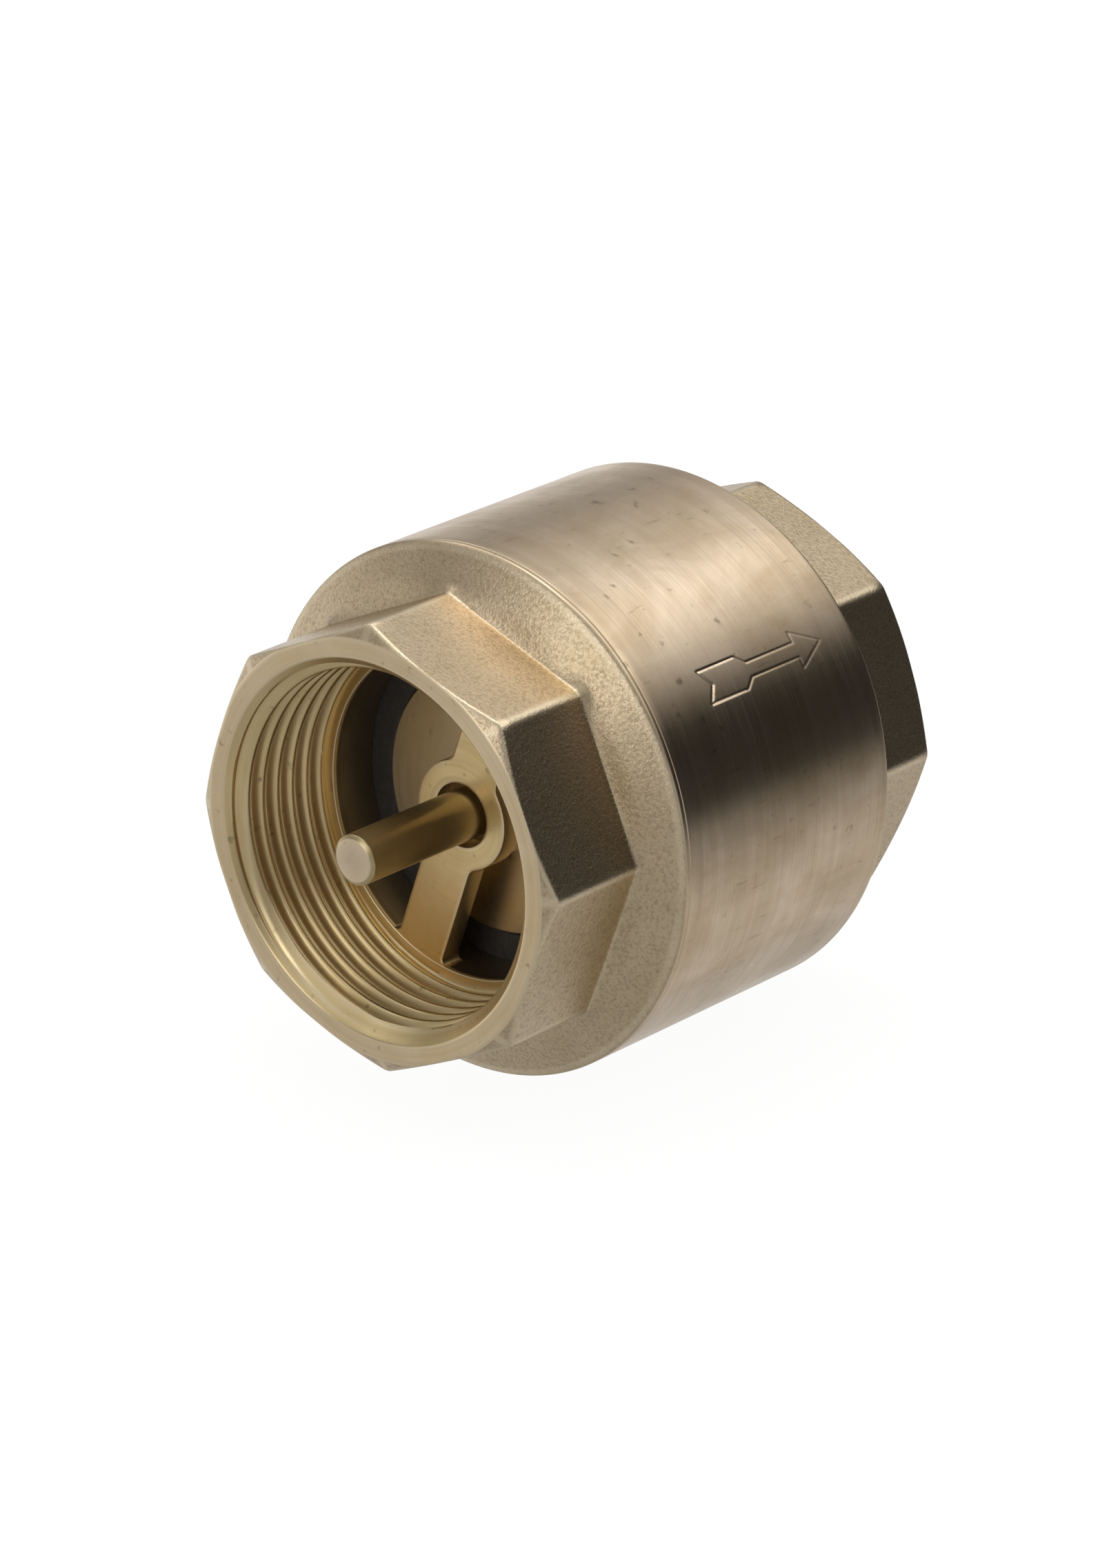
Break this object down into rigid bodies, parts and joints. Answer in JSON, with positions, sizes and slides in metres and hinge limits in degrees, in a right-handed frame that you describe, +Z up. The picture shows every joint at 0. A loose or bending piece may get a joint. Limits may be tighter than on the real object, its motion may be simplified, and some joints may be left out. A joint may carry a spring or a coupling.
{
  "type": "in-line check valve",
  "caption": "Brass in-line spring check valve with octagonal wrench ends, female pipe threads and a sliding poppet with a rubber seat seal.",
  "frame": {"origin": "on the flow axis, midway between the inlet face and the outlet face of the body", "axes": "+X along the flow, from the inlet to the outlet; +Z up; +Y completes the right-handed frame"},
  "size_m": [0.0669, 0.06, 0.06],
  "materials": {
    "forged_brass": "grit blasted forging with turned barrel and bores",
    "turned_brass": "fine turned",
    "black_rubber": "matt moulded",
    "stainless_wire": "drawn wire"
  },
  "bodies": {
    "body": {"main_body": "forged_brass", "inlet_cap": "forged_brass", "body_seal_ring": "black_rubber", "return_spring": "stainless_wire"},
    "poppet": {"stem": "turned_brass", "poppet_disc": "turned_brass", "seal_plate": "turned_brass", "lock_nut": "turned_brass", "seat_seal": "black_rubber"}
  },
  "joints": [
    {"name": "poppet_slide", "type": "slide", "parent": "body", "child": "poppet", "axis": [1, 0, 0], "range_m": [0, 0.008], "stiffness_N_per_m": 250, "springref_m": -0.016, "deforming": ["return_spring"]}
  ]
}
